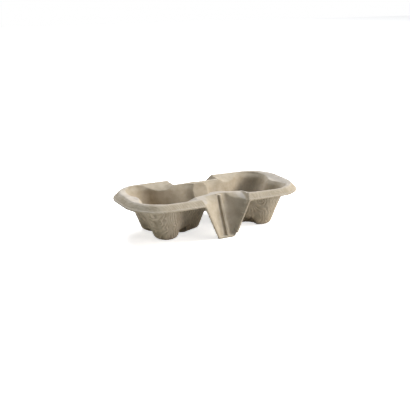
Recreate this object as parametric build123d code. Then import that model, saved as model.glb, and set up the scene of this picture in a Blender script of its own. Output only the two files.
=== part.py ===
"""Two-cup carrier tray, one thin sheet of moulded paper fibre. Millimetres, +Z up, long axis on X.

The sheet is what is left between two forms: the top form, and the same form set in by the wall.
Both are built by the same functions, which take the set-in distance as `grow`.
"""
import os
from math import atan2, cos, hypot, sin, sqrt

from build123d import *

WALL = 1.8

# How far the cutting forms reach past the tray, and the least volume that counts as a cut
ABOVE = 6.0
OUTSIDE = 12.0
LEAST_CUT = 1.0

# Rim: flat land at the top, flared skirt, small flat lip at its low edge
RIM_TOP = 46.0
RIM_HALF_LENGTH = 100.2
RIM_HALF_WIDTH = 44.3
RIM_CORNER = 32.5
SKIRT_OUT = 4.6
SKIRT_DROP = 6.0
LIP = 1.2
ROLL_DROP = 1.5
ROLL_OUT = 1.0
ROLL_IN = 1.2
TRIM_HALF_WIDTH = RIM_HALF_WIDTH + SKIRT_OUT + LIP

# Cup pockets: three lobes each, given at the ground and at the rim
OUTER_LOBE_LOW = (58.8, 17.3, 11.0)
OUTER_LOBE_HIGH = (67.7, 18.3, 21.0)
INNER_LOBE_LOW = (20.0, 0.0, 5.8)
INNER_LOBE_HIGH = (23.5, 0.0, 25.0)
END_BULGE_LOW = 3.9
END_BULGE_HIGH = 5.0
SIDE_BULGE_LOW = 2.4
SIDE_BULGE_HIGH = 2.6
FLARE = ((39.5, 0.0), (41.8, 0.7), (43.6, 1.8), (RIM_TOP + ABOVE, 1.9))
FOOT_ROUND = 4.0

# Raised dents in the floor between the feet: place, low radius, high radius, height
SIDE_DENT = (41.5, 21.0, 12.8, 8.0, 10.8)
END_DENT = (70.5, 0.0, 11.5, 6.5, 6.3)

# Dished land around a pocket
DISH_LAND = 2.8
DISH_DEPTH = 2.6
DISH_END = 11.0
DISH_SIDE = 7.2
DISH_START = 25.0
DISH_START_LOW = 35.0
DISH_CORNER_LOW = 24.0

# Saddle between the pockets
SADDLE_FLOOR = 22.0
SADDLE_LOW = (14.0, -2.0)
SADDLE_HIGH = (12.0, 20.6)

# Finger recess on each long side: half widths at ground and rim, back wall, flat strip right of the rib.
# The side profile gives height, inset and bow.
RECESS_LOW_HALF_WIDTH = 8.8
RECESS_HIGH_HALF_WIDTH = 29.0
RECESS_LOW_BACK = TRIM_HALF_WIDTH - 4.1
RECESS_HIGH_BACK = TRIM_HALF_WIDTH - 23.0
RECESS_LOW_FLAT = 5.6
RECESS_HIGH_FLAT = 7.6
RECESS_MIDDLE = 28.0
RECESS_SIDE = ((0.0, 0.7, 0.6), (RECESS_MIDDLE, 1.5, 1.8),
               (RIM_TOP, 7.5, 0.3), (RIM_TOP + ABOVE, 7.5, 0.3))
RECESS_SIDE_SHARE = 0.15

# Upright rib in the recess
RIB_TOP = 44.0
RIB_LOW_CREST = RECESS_LOW_BACK + 3.7
RIB_HIGH_CREST = RECESS_HIGH_BACK + 3.5
RIB_CREST_HALF = 1.6
RIB_ROOT_HALF = 2.5
RIB_ROUND = 1.0

# Sloping facets on both sides of the notch edge: place along X and fall per mm
POCKET_FACET_START = RIM_HALF_WIDTH - 0.6
FACET_LEAD = 2.0
POCKET_FACET = ((26.0, 0.02), (38.0, 0.34), (48.0, 0.5), (58.0, 0.54), (67.0, 0.36), (76.0, 0.05))
POCKET_FACET_REACH = 22.0
RIDGE_FACET_START = RECESS_HIGH_BACK + 1.5
RIDGE_FACET = ((4.0, 1.6), (10.0, 1.1), (14.5, 0.75), (20.0, 0.4), (31.5, 0.2))
RIDGE_SINK = 0.7
RIDGE_END_SINK = 1.9
RIDGE_END = 31.5

# How much of the set-in distance a sloping surface moves by
POCKET_FACET_SHARE = 0.25
RIDGE_FACET_SHARE = 0.4
SIDE_SHARE = 1.07
FLANK_SHARE = 1.3


def share(z):
    """Height as a share of the rim height."""
    return z / RIM_TOP


def between(low, high, z):
    return low + (high - low) * share(z)


def lobe(low, high, z, grow):
    """Centre and radius of a lobe at height z."""
    x, y, radius = (between(a, b, z) for a, b in zip(low, high))
    return x, y, radius + grow


def bridge(first, second, bulge, grow):
    """Arc that joins two lobe circles: its centre, radius and middle point."""
    gap = hypot(second[0] - first[0], second[1] - first[1]) / 2
    mean = (first[2] + second[2]) / 2 - grow
    radius = (gap**2 - 2 * mean * bulge + bulge**2) / (2 * bulge) - grow
    reach_1, reach_2 = first[2] + radius, second[2] + radius
    along = (reach_1**2 - reach_2**2 + 4 * gap**2) / (4 * gap)
    off = sqrt(reach_1**2 - along**2)
    ux, uy = (second[0] - first[0]) / (2 * gap), (second[1] - first[1]) / (2 * gap)
    centre = (first[0] + along * ux + off * uy, first[1] + along * uy - off * ux)
    return centre, radius


def tangent_point(circle, centre, radius):
    span = circle[2] + radius
    step = circle[2] / span
    return circle[0] + (centre[0] - circle[0]) * step, circle[1] + (centre[1] - circle[1]) * step


def arc_middle(centre, radius, toward):
    """Middle point of the arc that lies on the side of `toward`."""
    angle = atan2(toward[1] - centre[1], toward[0] - centre[0])
    return centre[0] + radius * cos(angle), centre[1] + radius * sin(angle)


def middle(a, b):
    return (a[0] + b[0]) / 2, (a[1] + b[1]) / 2


def pocket_outline(z, grow):
    """Three-lobed outline of the right pocket at height z: six tangent arcs."""
    near = lobe(OUTER_LOBE_LOW, OUTER_LOBE_HIGH, z, grow)
    near = (near[0], -near[1], near[2])
    far = (near[0], -near[1], near[2])
    inner = lobe(INNER_LOBE_LOW, INNER_LOBE_HIGH, z, grow)
    side = between(SIDE_BULGE_LOW, SIDE_BULGE_HIGH, z)
    end = between(END_BULGE_LOW, END_BULGE_HIGH, z)
    circles = (inner, near, far)
    joins = [bridge(inner, near, side, grow),
             bridge(near, far, end, grow),
             bridge(far, inner, side, grow)]
    edges = []
    for number, circle in enumerate(circles):
        before, after = joins[number - 1], joins[number]
        start = tangent_point(circle, *before)
        end_point = tangent_point(circle, *after)
        outward = middle(start, end_point)
        away = (outward[0] - circle[0], outward[1] - circle[1])
        centre_x = sum(c[0] for c in circles) / len(circles)
        out = (circle[0] - centre_x, circle[1])
        sign = 1 if away[0] * out[0] + away[1] * out[1] > 0 else -1
        toward = (circle[0] + sign * away[0], circle[1] + sign * away[1])
        edges.append(ThreePointArc((*start, z), (*arc_middle(circle[:2], circle[2], toward), z),
                                   (*end_point, z)))
        following = circles[(number + 1) % len(circles)]
        stop = tangent_point(following, *after)
        centre, radius = after
        between_lobes = arc_middle(centre, radius, middle(end_point, stop))
        edges.append(ThreePointArc((*end_point, z), (*between_lobes, z), (*stop, z)))
    return Face(Wire(edges))


def dent(place, grow):
    """Raised cone in the pocket floor, where the underside arches up between two feet."""
    x, y, low, high, height = place
    low_radius, high_radius = low - grow * SIDE_SHARE, high - grow / 2
    upward = (Align.CENTER, Align.CENTER, Align.MIN)
    base = Pos(x, y, -ABOVE) * Cylinder(low_radius, ABOVE, align=upward)
    return base + Pos(x, y, 0) * Cone(low_radius, high_radius, height - grow, align=upward)


def pocket(grow):
    """Right cup pocket."""
    side = grow * SIDE_SHARE
    outlines = [pocket_outline(z, side + out) for z, out in ((WALL - grow, 0.0),) + FLARE]
    body = loft(outlines[:2], ruled=True)
    body = fillet(body.edges().group_by(Axis.Z)[0], FOOT_ROUND + grow)
    for pair in zip(outlines[1:], outlines[2:]):
        body += loft(pair, ruled=True)
    side_dent = dent(SIDE_DENT, grow)
    for piece in (side_dent, mirror(side_dent, about=Plane.XZ), dent(END_DENT, grow)):
        body = take(body, piece)
    return body


def dish(grow):
    """Space over the land around the right pocket, which slopes in toward the pocket."""
    low, top = RIM_TOP - DISH_DEPTH - grow, RIM_TOP - grow
    wide = rounded(top, -DISH_LAND)
    narrow = Plane(origin=(0, 0, low)) * RectangleRounded(2 * (RIM_HALF_LENGTH - DISH_END),
                                                          2 * (RIM_HALF_WIDTH - DISH_SIDE), DISH_CORNER_LOW)
    faces = []
    for face, start in ((narrow, DISH_START_LOW), (wide, DISH_START)):
        keep = Pos(start, 0, face.center().Z) * Rectangle(2 * RIM_HALF_LENGTH, 2 * RIM_HALF_LENGTH,
                                                         align=(Align.MIN, Align.CENTER))
        faces.append(face & keep)
    slope = loft(faces, ruled=True)
    return slope + extrude(faces[1], ABOVE)


def saddle(grow):
    floor = SADDLE_FLOOR - grow
    top = RIM_TOP + ABOVE
    spans = [[between(a, b, z) for a, b in zip(SADDLE_LOW, SADDLE_HIGH)] for z in (floor, top)]
    low = Plane(origin=(0, 0, floor)) * Rectangle(2 * spans[0][0], 2 * (spans[0][1] + grow))
    high = Plane(origin=(0, 0, top)) * Rectangle(2 * spans[1][0], 2 * (spans[1][1] + grow))
    return loft([low, high], ruled=True)


def bowed_middle(start, end, bow):
    """Middle of an arc from start to end that bows inward, to +Y, by `bow`."""
    across, along = end[0] - start[0], end[1] - start[1]
    chord = hypot(across, along)
    mean = middle(start, end)
    return mean[0] - bow * along / chord, mean[1] + bow * across / chord


def recess_outline(z, inset, bow, grow):
    """Outline of the front finger recess at height z: two shallow arcs and a flat strip, open in front."""
    half = between(RECESS_LOW_HALF_WIDTH, RECESS_HIGH_HALF_WIDTH, z) + grow * FLANK_SHARE
    back = between(RECESS_LOW_BACK, RECESS_HIGH_BACK, z) - grow * SIDE_SHARE
    side = TRIM_HALF_WIDTH - inset - grow / 2
    side_half = half - (TRIM_HALF_WIDTH - side) * RECESS_SIDE_SHARE
    flat = between(RECESS_LOW_FLAT, RECESS_HIGH_FLAT, z)
    left = bowed_middle((-side_half, -side), (0, -back), bow)
    right = bowed_middle((flat, -back), (side_half, -side), bow)
    far = TRIM_HALF_WIDTH + OUTSIDE
    wide = half + OUTSIDE / 2
    edges = [Line((-half, -TRIM_HALF_WIDTH, z), (-side_half, -side, z)),
             ThreePointArc((-side_half, -side, z), (*left, z), (0, -back, z)),
             Line((0, -back, z), (flat, -back, z)),
             ThreePointArc((flat, -back, z), (*right, z), (side_half, -side, z)),
             Line((side_half, -side, z), (half, -TRIM_HALF_WIDTH, z)),
             Line((half, -TRIM_HALF_WIDTH, z), (wide, -far, z)),
             Line((wide, -far, z), (-wide, -far, z)),
             Line((-wide, -far, z), (-half, -TRIM_HALF_WIDTH, z))]
    return Face(Wire(edges))


def rib():
    """Upright rib in the middle of the front recess."""
    faces = []
    for z in (0.0, RIB_TOP):
        crest = between(RIB_LOW_CREST, RIB_HIGH_CREST, z)
        root = between(RECESS_LOW_BACK, RECESS_HIGH_BACK, z) - WALL / 2
        points = [(-RIB_ROOT_HALF, -root, z), (RIB_ROOT_HALF, -root, z),
                  (RIB_CREST_HALF, -crest, z), (-RIB_CREST_HALF, -crest, z)]
        faces.append(Face(Wire.make_polygon(points)))
    body = loft(faces, ruled=True)
    long_edges = [edge for edge in body.edges() if edge.length > RIB_TOP]
    crest_edges = sorted(long_edges, key=lambda edge: edge.center().Y)[:2]
    return fillet(crest_edges, RIB_ROUND)


def facet(start, places, reach, grow, inward):
    """Space over a sloping facet beside the notch, at +X, on the front side."""
    sign = -1 if inward else 1
    near, far = start - sign * FACET_LEAD, start + sign * reach
    pieces = []
    for pair in zip(places, places[1:]):
        faces = []
        for x, fall in pair:
            top = RIM_TOP - grow - (0 if inward else ridge_sink(x))
            high, low = top + fall * FACET_LEAD, top - fall * reach
            above = RIM_TOP + ABOVE
            points = [(x, -near, high), (x, -near, above), (x, -far, above), (x, -far, low)]
            faces.append(Face(Wire.make_polygon(points)))
        pieces.append(loft(faces, ruled=True))
    return pieces[0] + pieces[1:]


def ridge_sink(x):
    return RIDGE_SINK + (RIDGE_END_SINK - RIDGE_SINK) * x / RIDGE_END


def recess(grow):
    """Front finger recess with the facets on its ridge."""
    floor = WALL - grow
    outlines = [recess_outline(max(z, floor), inset, bow, grow) for z, inset, bow in RECESS_SIDE]
    body = loft(outlines[:2], ruled=True)
    for pair in zip(outlines[1:], outlines[2:]):
        body += loft(pair, ruled=True)
    slope = facet(RIDGE_FACET_START - grow * RIDGE_FACET_SHARE, RIDGE_FACET, OUTSIDE * 2, grow, False)
    slope += ridge_top(grow)
    slope += mirror(slope, about=Plane.YZ)
    side_low = recess_side(0.0, grow)
    side_high = recess_side(RIM_TOP + ABOVE, grow)
    body += slope & loft([side_low, side_high], ruled=True)
    if grow == 0:
        body = take(body, rib())
    return body


def ridge_top(grow):
    """Space over the ridge between recess and pocket, a little lower than the rim."""
    faces = []
    for x in (0, RIDGE_END):
        low, high = RIM_TOP - ridge_sink(x) - grow, RIM_TOP + ABOVE
        points = [(x, 0, low), (x, 0, high), (x, -TRIM_HALF_WIDTH, high), (x, -TRIM_HALF_WIDTH, low)]
        faces.append(Face(Wire.make_polygon(points)))
    return loft(faces, ruled=True)


def recess_side(z, grow):
    half = between(RECESS_LOW_HALF_WIDTH, RECESS_HIGH_HALF_WIDTH, z) + grow
    return Plane(origin=(0, -TRIM_HALF_WIDTH, z)) * Rectangle(2 * half, 2 * TRIM_HALF_WIDTH)


def rounded(z, out):
    half_length = RIM_HALF_LENGTH + out
    half_width = RIM_HALF_WIDTH + out
    return Plane(origin=(0, 0, z)) * RectangleRounded(2 * half_length, 2 * half_width, RIM_CORNER + out)


def hull(grow):
    """Everything under the top surface, with no pockets or recesses."""
    set_in = grow * (sqrt(2) - 1)
    top = RIM_TOP - grow
    low = top - SKIRT_DROP
    edge = rounded(top - ROLL_DROP, ROLL_OUT - set_in)
    crown = loft([rounded(low, SKIRT_OUT - set_in), edge], ruled=True)
    crown += loft([edge, rounded(top, -ROLL_IN)], ruled=True)
    base = extrude(rounded(low, SKIRT_OUT + LIP + OUTSIDE), -(low + OUTSIDE))
    return crown + base


def take(body, piece):
    """Cut a piece away and make sure that the cut did remove something."""
    rest = body - piece
    if body.volume - rest.volume < LEAST_CUT:
        raise ValueError("a cut removed nothing")
    return rest


def form(grow):
    """Everything under the top surface, set in by `grow`."""
    right = pocket(grow)
    front = recess(grow)
    bowl = dish(grow)
    cheek = facet(POCKET_FACET_START + grow * POCKET_FACET_SHARE, POCKET_FACET, POCKET_FACET_REACH, grow, True)
    back_cheek = mirror(cheek, about=Plane.XZ)
    pieces = [cheek, mirror(cheek, about=Plane.YZ), back_cheek, mirror(back_cheek, about=Plane.YZ),
              bowl, mirror(bowl, about=Plane.YZ), right, mirror(right, about=Plane.YZ),
              front, mirror(front, about=Plane.XZ), saddle(grow)]
    body = hull(grow)
    for piece in pieces:
        body = take(body, piece)
    return body


def sheet():
    trim = extrude(rounded(0, SKIRT_OUT + LIP), RIM_TOP + ABOVE)
    return (form(0) - form(WALL)) & trim


if __name__ == "__main__":
    os.makedirs("parts", exist_ok=True)
    tray = sheet()
    export_step(tray, "parts/carrier_tray.step")
    print(tray.bounding_box(), tray.volume, len(tray.solids()), len(tray.faces()))
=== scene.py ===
"""Two-cup carrier tray of moulded paper fibre: fine surface, colour, light and camera. Metres, +Z up."""

from math import cos, pi, radians, sin

import bpy
import numpy as np
from mathutils import Matrix, Vector, noise
from mathutils.bvhtree import BVHTree


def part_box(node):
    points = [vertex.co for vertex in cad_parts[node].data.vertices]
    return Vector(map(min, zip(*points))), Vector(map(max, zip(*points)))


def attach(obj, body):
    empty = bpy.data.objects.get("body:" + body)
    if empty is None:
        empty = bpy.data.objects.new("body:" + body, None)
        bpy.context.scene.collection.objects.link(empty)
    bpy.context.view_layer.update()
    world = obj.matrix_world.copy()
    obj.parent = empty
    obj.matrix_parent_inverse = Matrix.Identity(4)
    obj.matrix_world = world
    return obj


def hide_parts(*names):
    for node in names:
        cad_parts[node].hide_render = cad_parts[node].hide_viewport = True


MM = 0.001

# Fine mesh of the sheet: size of its cells, smoothing, most triangles, start of the rays off its surface
VOXEL = 0.6 * MM
SMOOTH_SHARE = 0.5
SMOOTH_ROUNDS = 1
MOST_TRIANGLES = 190000
RAY_START = 0.3 * MM

# Outline of the rim's flat land: half length, half width, corner radius
RIM = (100.6 * MM, 44.7 * MM, 32.5 * MM)

# Uneven surface: wave length and height of each layer
SWELL = (34.0 * MM, 0.30 * MM)
LUMPS = (7.0 * MM, 0.10 * MM)
SCREEN = (2.4 * MM, 0.24 * MM)

# Rows of the screen print: strength on the skirt, direction across the rows, size and reach of each bend
SCREEN_SKIRT_SHARE = 0.4
SCREEN_LEAN = (0.8, 0.55, 0.1)
SCREEN_BENDS = ((24.0 * MM, 4.0 * MM), (8.0 * MM, 2.2 * MM), (3.0 * MM, 0.9 * MM))

# Fading of the rows: size of the patches, mean strength, spread, least strength
SCREEN_FADE = (4.0 * MM, 0.65, 1.2)
LEAST_STRENGTH = 0.1

# Places in the noise that keep its uses apart
BEND_NOISE = 3.0
LUMP_NOISE = 7.0
FADE_NOISE = 11.0

# Round swirl of the screen print on the right pocket: middle, reach and sharpness of its edge
SWIRL_MIDDLE = (51.9 * MM, -32.5 * MM, 30.5 * MM)
SWIRL_REACH = 10.0 * MM
SWIRL_SHARPNESS = 4

# Worn low corner of the front recess: middle along x and z and radius, seen from the front
WORN_CORNER = (5.86 * MM, 4.5 * MM, 4.5 * MM)
WORN_DEPTH = 38.0 * MM

# Front rib, whose low end stands to the right: shift, height, how far in front of the middle it starts,
# half widths that move fully and not at all
RIB_LEAN = 1.8 * MM
RIB_TOP = 44.0 * MM
RIB_PLACE = 24.0 * MM
RIB_HALF_WIDTHS = (3.6 * MM, 7.0 * MM)

# Right part of the front recess, whose crease is drawn out soft: start beside the rib, end at the bottom
# and at the top, lowest and highest point, how far in front of the middle it starts, fades, rounds
HOLLOW_START = 3.4 * MM
HOLLOW_ENDS = (8.8 * MM, 28.0 * MM)
HOLLOW_LOW = 1.0 * MM
HOLLOW_TOP = 41.0 * MM
HOLLOW_PLACE = 28.0 * MM
HOLLOW_FADES = (1.5 * MM, 4.0 * MM)
HOLLOW_ROUNDS = 70

# Painted cool top light: the flat lands are painted paler and greyer than the walls where their normal faces
# up. Least height, how upright the surface's normal is where the painted light starts and where it is full,
# its colour, half length of the rear trim that has none
LAND_HEIGHT = 30.0 * MM
LAND_UPRIGHT = (0.80, 0.95)
NO_PAINTED_TOP_LIGHT = (1.0, 1.0, 1.0)
LAND_PAINTED_TOP_LIGHT = (1.06, 1.10, 1.21)
REAR_TRIM = 62.0 * MM

# Shallow groove on the land at the right end: distance inside the rim, half width, depth, start
GROOVE = (3.4 * MM, 0.9 * MM, 0.5 * MM, 60.0 * MM)

# Surface relief too fine for the mesh: size and height of each layer
GRAIN_SIZE = 0.9 * MM
GRAIN_HEIGHT = 0.10 * MM
FUZZ_SIZE = 0.3 * MM
FUZZ_HEIGHT = 0.03 * MM
RELIEF_DETAIL = 3.0
RELIEF_STRENGTH = 1.0

# Mottled paper: size, detail and roughness of the patches, linear colours, places of dark, middle and pale
PATCH_SIZE = 9.0 * MM
PATCH_DETAIL = 6.0
PATCH_ROUGHNESS = 0.65
PAPER_DARK = (0.365, 0.303, 0.223)
PAPER_MIDDLE = (0.430, 0.365, 0.280)
PAPER_PALE = (0.485, 0.417, 0.327)
TONE_PLACES = (0.3, 0.5, 0.7)

# Lowest point of the screen's rows, painted shade in their troughs and painted highlight on their crests,
# and matt surface of the paper
ROW_LEAST = -1.0
ROW_PAINTED_SHADES = (0.70, 1.30)
PAPER_ROUGHNESS = 0.92
PAPER_SHINE = 0.18

# Light: direction and height angle in degrees, power and colour of each lamp
LAMPS = {"key_low": (-48, 18, 36.0, (1.0, 0.95, 0.92)),
         "key_high": (-18, 26, 66.0, (1.0, 0.95, 0.84)),
         "top": (0, 75, 58.0, (0.75, 0.88, 1.0)),
         "back": (90, 50, 64.0, (0.97, 0.96, 1.0)),
         "left": (180, 5, 17.0, (1.0, 1.0, 0.85))}
LAMP_DISTANCE = 3.0
LAMP_SIZE = 0.9
AIM = (0.0, 0.0, 0.02)
SKY_STRENGTH = 0.02
BACKDROP_STRENGTH = 1.0
FLOOR_HALF = 3.0
FLOOR_COLOUR = (0.93, 0.93, 0.93)
FLOOR_BOUNCE = (0.74, 0.73, 0.70)
FLOOR_LIFT = 0.7

# Camera: direction, height angle and roll, distance, shifts, width of the sensor and lens in mm
TURN = radians(-27.78)
HEIGHT_ANGLE = radians(17.05)
ROLL = radians(0.28)
DISTANCE = 897.5 * MM
SHIFT_RIGHT = -2.0 * MM
SHIFT_UP = 22.8 * MM
SENSOR = 36.0
FOCAL = 68.494
FAR = 50.0


def fine_mesh(node):
    """Evenly meshed copy of the tray with soft edges."""
    piece = bpy.data.objects.new("pulp_tray", node.data.copy())
    bpy.context.scene.collection.objects.link(piece)
    remesh = piece.modifiers.new("remesh", "REMESH")
    remesh.mode = "VOXEL"
    remesh.voxel_size = VOXEL
    remesh.use_smooth_shade = True
    smooth = piece.modifiers.new("smooth", "SMOOTH")
    smooth.factor = SMOOTH_SHARE
    smooth.iterations = SMOOTH_ROUNDS
    settle(piece)
    return piece


def settle(piece):
    """Keep what the modifiers give as the piece's own mesh."""
    shape = piece.evaluated_get(bpy.context.evaluated_depsgraph_get())
    mesh = bpy.data.meshes.new_from_object(shape)
    piece.modifiers.clear()
    piece.data = mesh


def soften_hollow(piece):
    """Draw out the crease on the right of the front recess into a soft hollow."""
    x, y, z = points_of(piece.data).T
    start_fade, end_fade = HOLLOW_FADES
    low_end, high_end = HOLLOW_ENDS
    end = low_end + (high_end - low_end) * z / HOLLOW_TOP
    weights = np.clip((x - HOLLOW_START) / start_fade, 0, 1) * np.clip((end - x) / end_fade, 0, 1)
    weights *= np.clip((z - HOLLOW_LOW) / end_fade, 0, 1) * np.clip((HOLLOW_TOP - z) / end_fade, 0, 1)
    weights *= y < -HOLLOW_PLACE
    group = piece.vertex_groups.new(name="hollow")
    for number in np.flatnonzero(weights):
        group.add([int(number)], float(weights[number]), "REPLACE")
    smooth = piece.modifiers.new("hollow", "SMOOTH")
    smooth.factor = SMOOTH_SHARE
    smooth.iterations = HOLLOW_ROUNDS
    smooth.vertex_group = group.name
    settle(piece)
    piece.vertex_groups.clear()


def thin_out(piece):
    """Lower the number of triangles where the surface is flat."""
    piece.data.calc_loop_triangles()
    count = len(piece.data.loop_triangles)
    if count > MOST_TRIANGLES:
        fewer = piece.modifiers.new("fewer", "DECIMATE")
        fewer.ratio = MOST_TRIANGLES / count
        settle(piece)


def points_of(mesh):
    flat = np.zeros(len(mesh.vertices) * 3, np.float32)
    mesh.vertices.foreach_get("co", flat)
    return flat.reshape(-1, 3)


def normals_of(mesh):
    flat = np.zeros(len(mesh.vertices) * 3, np.float32)
    mesh.vertex_normals.foreach_get("vector", flat)
    return flat.reshape(-1, 3)


def upper_shares(piece):
    """One for points of the upper face, with nothing straight above them, and zero for the underside."""
    mesh = piece.data
    tree = BVHTree.FromObject(piece, bpy.context.evaluated_depsgraph_get())
    up = Vector((0, 0, 1))
    shares = np.ones(len(mesh.vertices), np.float32)
    for number, (point, normal) in enumerate(zip(points_of(mesh), normals_of(mesh))):
        start = Vector(point) + Vector(normal) * RAY_START
        if tree.ray_cast(start, up)[0] is not None:
            shares[number] = 0
    return shares


def noise_at(points, size, offset=0.0):
    """Smooth noise with features of the given size, read at a shifted place."""
    return np.array([noise.noise(Vector(p) / size + Vector((offset, offset, offset))) for p in points])


def screen_run(points):
    """Distance across the wavy, mostly upright rows that the mould's screen prints."""
    run = points @ np.array(SCREEN_LEAN)
    for size, bend in SCREEN_BENDS:
        run += noise_at(points, size, BEND_NOISE) * bend
    return run


def screen_rows(points):
    """Height, from -1 to 1, of the screen's rows, which run round in the swirl and fade in and out."""
    middle = np.array(SWIRL_MIDDLE)
    away = np.linalg.norm(points - middle, axis=1)
    near = np.exp(-(away / SWIRL_REACH) ** SWIRL_SHARPNESS)
    run = screen_run(points) * (1 - near) + (screen_run(middle[None, :])[0] + away) * near
    size, mean, spread = SCREEN_FADE
    strength = np.clip(mean + noise_at(points, size, FADE_NOISE) * spread, LEAST_STRENGTH, 1)
    return np.sin(run * 2 * pi / SCREEN[0]) * strength


def rim_distance(points):
    """How far points lie outside the outline of the rim's land, negative inside."""
    half_length, half_width, corner = RIM
    x = np.maximum(np.abs(points[:, 0]) - half_length + corner, 0)
    y = np.maximum(np.abs(points[:, 1]) - half_width + corner, 0)
    return np.hypot(x, y) - corner


def groove_depths(points, upper):
    """Depth of the groove in the land at the right end."""
    inside, half_width, depth, start = GROOVE
    across = (rim_distance(points) + inside) / half_width
    return np.exp(-across ** 2) * depth * upper * (points[:, 0] > start)


def screen_shares(points, upper):
    """How strongly the screen shows: fully below, weakly on the skirt, and not at all on the smooth side."""
    return 1 - upper * (1 - SCREEN_SKIRT_SHARE * (rim_distance(points) > 0))


def lean_rib(points):
    """Move the low end of the front rib to the right."""
    full, none = RIB_HALF_WIDTHS
    share = np.clip((none - np.abs(points[:, 0])) / (none - full), 0, 1) * (points[:, 1] < -RIB_PLACE)
    low_share = np.clip(1 - points[:, 2] / RIB_TOP, 0, 1)
    return points + np.column_stack((share * low_share * RIB_LEAN, points[:, 1] * 0, points[:, 2] * 0))


def worn(points):
    """Round off the low right corner of the front recess."""
    centre_x, centre_z, radius = WORN_CORNER
    x, z = points[:, 0] - centre_x, points[:, 2] - centre_z
    away = np.hypot(x, z)
    past = (x > 0) & (z < 0) & (away > radius) & (points[:, 1] < -WORN_DEPTH) & (x < 2 * radius)
    scale = np.where(past, radius / np.maximum(away, radius), 1)
    return np.column_stack((centre_x + x * scale, points[:, 1], centre_z + z * scale))


def painted_top_light_shares(piece, upper):
    """Share of the painted cool top light: one on the flat lands of the rim and the front, zero on walls,
    the rear trim and the underside.
    """
    start, full = LAND_UPRIGHT
    upright = np.clip((normals_of(piece.data)[:, 2] - start) / (full - start), 0, 1)
    x, y, z = points_of(piece.data).T
    rear_trim = (np.abs(x) < REAR_TRIM) & (y > 0)
    return upright * upper * (z > LAND_HEIGHT) * ~rear_trim


def roughen(piece, upper, low, high):
    """Add swells, lumps, screen print and groove, lean the rib, wear the corner, keep within the box."""
    mesh = piece.data
    points, normals = points_of(mesh), normals_of(mesh)
    rise = noise_at(points, SWELL[0]) * SWELL[1] + noise_at(points, LUMPS[0], LUMP_NOISE) * LUMPS[1]
    rise += screen_rows(points) * SCREEN[1] * screen_shares(points, upper)
    rise -= groove_depths(points, upper)
    points = np.clip(worn(lean_rib(points + normals * rise[:, None])), np.array(low), np.array(high))
    mesh.vertices.foreach_set("co", points.astype(np.float32).ravel())
    mesh.update()


def colour(rgb):
    return (*rgb, 1.0)


def paper_material():
    material = bpy.data.materials.new("paper_fibre")
    material.use_nodes = True
    tree = material.node_tree
    link = tree.links.new
    shader = tree.nodes["Principled BSDF"]
    shader.inputs["Roughness"].default_value = PAPER_ROUGHNESS
    shader.inputs["Specular IOR Level"].default_value = PAPER_SHINE
    place = tree.nodes.new("ShaderNodeTexCoord")

    patches = tree.nodes.new("ShaderNodeTexNoise")
    patches.inputs["Scale"].default_value = 1 / PATCH_SIZE
    patches.inputs["Detail"].default_value = PATCH_DETAIL
    patches.inputs["Roughness"].default_value = PATCH_ROUGHNESS
    dark_place, middle_place, pale_place = TONE_PLACES
    ramp = tree.nodes.new("ShaderNodeValToRGB")
    ramp.color_ramp.elements[0].position = dark_place
    ramp.color_ramp.elements[0].color = colour(PAPER_DARK)
    ramp.color_ramp.elements[1].position = pale_place
    ramp.color_ramp.elements[1].color = colour(PAPER_PALE)
    middle = ramp.color_ramp.elements.new(middle_place)
    middle.color = colour(PAPER_MIDDLE)
    link(place.outputs["Object"], patches.inputs["Vector"])
    link(patches.outputs["Fac"], ramp.inputs["Fac"])

    # Painted shade and highlight: the paper colour is darkened in the screen rows' troughs and lightened on
    # their crests
    screen = tree.nodes.new("ShaderNodeAttribute")
    screen.attribute_name = "screen"
    row_shading = tree.nodes.new("ShaderNodeMapRange")
    row_shading.inputs["From Min"].default_value = ROW_LEAST
    row_shading.inputs["To Min"].default_value = ROW_PAINTED_SHADES[0]
    row_shading.inputs["To Max"].default_value = ROW_PAINTED_SHADES[1]
    shade = tree.nodes.new("ShaderNodeVectorMath")
    shade.operation = "SCALE"
    link(screen.outputs["Fac"], row_shading.inputs["Value"])
    link(ramp.outputs["Color"], shade.inputs["Vector"])
    link(row_shading.outputs["Result"], shade.inputs["Scale"])
    # Painted cool top light: the paper colour is scaled paler and bluer on the upward-facing lands
    land = tree.nodes.new("ShaderNodeAttribute")
    land.attribute_name = "land"
    top_light_ramp = tree.nodes.new("ShaderNodeValToRGB")
    top_light_ramp.color_ramp.elements[0].color = colour(NO_PAINTED_TOP_LIGHT)
    top_light_ramp.color_ramp.elements[1].color = colour(LAND_PAINTED_TOP_LIGHT)
    top_lit_colour = tree.nodes.new("ShaderNodeVectorMath")
    top_lit_colour.operation = "MULTIPLY"
    link(land.outputs["Fac"], top_light_ramp.inputs["Fac"])
    link(shade.outputs["Vector"], top_lit_colour.inputs[0])
    link(top_light_ramp.outputs["Color"], top_lit_colour.inputs[1])
    link(top_lit_colour.outputs["Vector"], shader.inputs["Base Color"])

    normal = None
    for size, height in ((GRAIN_SIZE, GRAIN_HEIGHT), (FUZZ_SIZE, FUZZ_HEIGHT)):
        grain = tree.nodes.new("ShaderNodeTexNoise")
        grain.inputs["Scale"].default_value = 1 / size
        grain.inputs["Detail"].default_value = RELIEF_DETAIL
        bump = tree.nodes.new("ShaderNodeBump")
        bump.inputs["Strength"].default_value = RELIEF_STRENGTH
        bump.inputs["Distance"].default_value = height
        link(place.outputs["Object"], grain.inputs["Vector"])
        link(grain.outputs["Fac"], bump.inputs["Height"])
        if normal is not None:
            link(normal, bump.inputs["Normal"])
        normal = bump.outputs["Normal"]
    link(normal, shader.inputs["Normal"])
    return material


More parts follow.
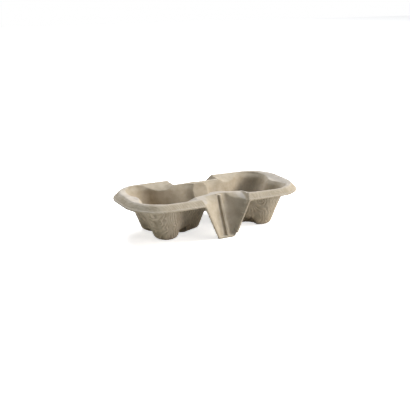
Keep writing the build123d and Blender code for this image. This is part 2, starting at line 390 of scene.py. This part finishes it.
def camera():
    back = Vector((sin(TURN) * cos(HEIGHT_ANGLE), -cos(TURN) * cos(HEIGHT_ANGLE), sin(HEIGHT_ANGLE)))
    right = (-back).cross(Vector((0, 0, 1))).normalized()
    up = right.cross(-back)
    eye = back * DISTANCE + right * SHIFT_RIGHT + up * SHIFT_UP
    side = right * cos(ROLL) + up * sin(ROLL)
    rise = up * cos(ROLL) - right * sin(ROLL)
    data = bpy.data.cameras.new("camera")
    data.sensor_width = SENSOR
    data.lens = FOCAL
    data.clip_end = FAR
    made = bpy.data.objects.new("camera", data)
    bpy.context.scene.collection.objects.link(made)
    made.matrix_world = Matrix(((side.x, rise.x, back.x, eye.x), (side.y, rise.y, back.y, eye.y),
                                (side.z, rise.z, back.z, eye.z), (0, 0, 0, 1)))
    bpy.context.scene.camera = made


def area_light(name, turn, height, power, tint):
    flat = cos(radians(height))
    direction = Vector((flat * cos(radians(turn)), flat * sin(radians(turn)), sin(radians(height))))
    place = direction * LAMP_DISTANCE
    data = bpy.data.lights.new(name, "AREA")
    data.size = LAMP_SIZE
    data.energy = power
    data.color = tint
    lamp = bpy.data.objects.new(name, data)
    bpy.context.scene.collection.objects.link(lamp)
    lamp.location = place
    lamp.rotation_euler = (Vector(AIM) - place).to_track_quat("-Z", "Y").to_euler()


def floor():
    mesh = bpy.data.meshes.new("floor")
    corners = [(x * FLOOR_HALF, y * FLOOR_HALF, 0) for x, y in ((-1, -1), (1, -1), (1, 1), (-1, 1))]
    mesh.from_pydata(corners, [], [(0, 1, 2, 3)])
    made = bpy.data.objects.new("floor", mesh)
    bpy.context.scene.collection.objects.link(made)
    material = bpy.data.materials.new("floor")
    material.use_nodes = True
    tree = material.node_tree
    tree.nodes.remove(tree.nodes["Principled BSDF"])
    seen = tree.nodes.new("ShaderNodeBsdfDiffuse")
    seen.inputs["Color"].default_value = colour(FLOOR_COLOUR)
    lift = tree.nodes.new("ShaderNodeEmission")
    lift.inputs["Strength"].default_value = FLOOR_LIFT
    both = tree.nodes.new("ShaderNodeAddShader")
    bounce = tree.nodes.new("ShaderNodeBsdfDiffuse")
    bounce.inputs["Color"].default_value = colour(FLOOR_BOUNCE)
    path = tree.nodes.new("ShaderNodeLightPath")
    mix = tree.nodes.new("ShaderNodeMixShader")
    tree.links.new(seen.outputs["BSDF"], both.inputs[0])
    tree.links.new(lift.outputs["Emission"], both.inputs[1])
    tree.links.new(path.outputs["Is Camera Ray"], mix.inputs["Fac"])
    tree.links.new(bounce.outputs["BSDF"], mix.inputs[1])
    tree.links.new(both.outputs["Shader"], mix.inputs[2])
    tree.links.new(mix.outputs["Shader"], tree.nodes["Material Output"].inputs["Surface"])
    mesh.materials.append(material)


def sky():
    """Soft white light from all round, and a white backdrop where the camera looks past the floor."""
    world = bpy.data.worlds.new("sky")
    bpy.context.scene.world = world
    world.use_nodes = True
    tree = world.node_tree
    light = tree.nodes["Background"]
    light.inputs["Color"].default_value = (1, 1, 1, 1)
    light.inputs["Strength"].default_value = SKY_STRENGTH
    white = tree.nodes.new("ShaderNodeBackground")
    white.inputs["Color"].default_value = (1, 1, 1, 1)
    white.inputs["Strength"].default_value = BACKDROP_STRENGTH
    path = tree.nodes.new("ShaderNodeLightPath")
    mix = tree.nodes.new("ShaderNodeMixShader")
    tree.links.new(path.outputs["Is Camera Ray"], mix.inputs["Fac"])
    tree.links.new(light.outputs["Background"], mix.inputs[1])
    tree.links.new(white.outputs["Background"], mix.inputs[2])
    tree.links.new(mix.outputs["Shader"], tree.nodes["World Output"].inputs["Surface"])


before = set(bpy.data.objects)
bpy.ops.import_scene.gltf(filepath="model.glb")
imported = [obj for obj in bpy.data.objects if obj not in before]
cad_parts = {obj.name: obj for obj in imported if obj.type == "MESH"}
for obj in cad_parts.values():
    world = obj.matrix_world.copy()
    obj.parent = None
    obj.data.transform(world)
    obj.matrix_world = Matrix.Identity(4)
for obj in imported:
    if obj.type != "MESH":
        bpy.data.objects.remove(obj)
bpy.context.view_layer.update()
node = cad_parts["carrier_tray"]
low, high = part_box("carrier_tray")

tray = fine_mesh(node)
soften_hollow(tray)
roughen(tray, upper_shares(tray), low, high)
thin_out(tray)
upper = upper_shares(tray)
places = points_of(tray.data)
# Attributes for the paper colour: the screen rows carry the painted shade and highlight, the land share
# carries the painted cool top light
row_shade_share = screen_rows(places) * screen_shares(places, upper)
for attribute, values in (("land", painted_top_light_shares(tray, upper)), ("screen", row_shade_share)):
    tray.data.attributes.new(attribute, "FLOAT", "POINT").data.foreach_set("value", values)
tray.data.materials.clear()
tray.data.materials.append(paper_material())
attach(tray, "root")
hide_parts("carrier_tray")

camera()
floor()
sky()
for lamp_name, values in LAMPS.items():
    area_light(lamp_name, *values)
bpy.context.scene.view_settings.view_transform = "Standard"
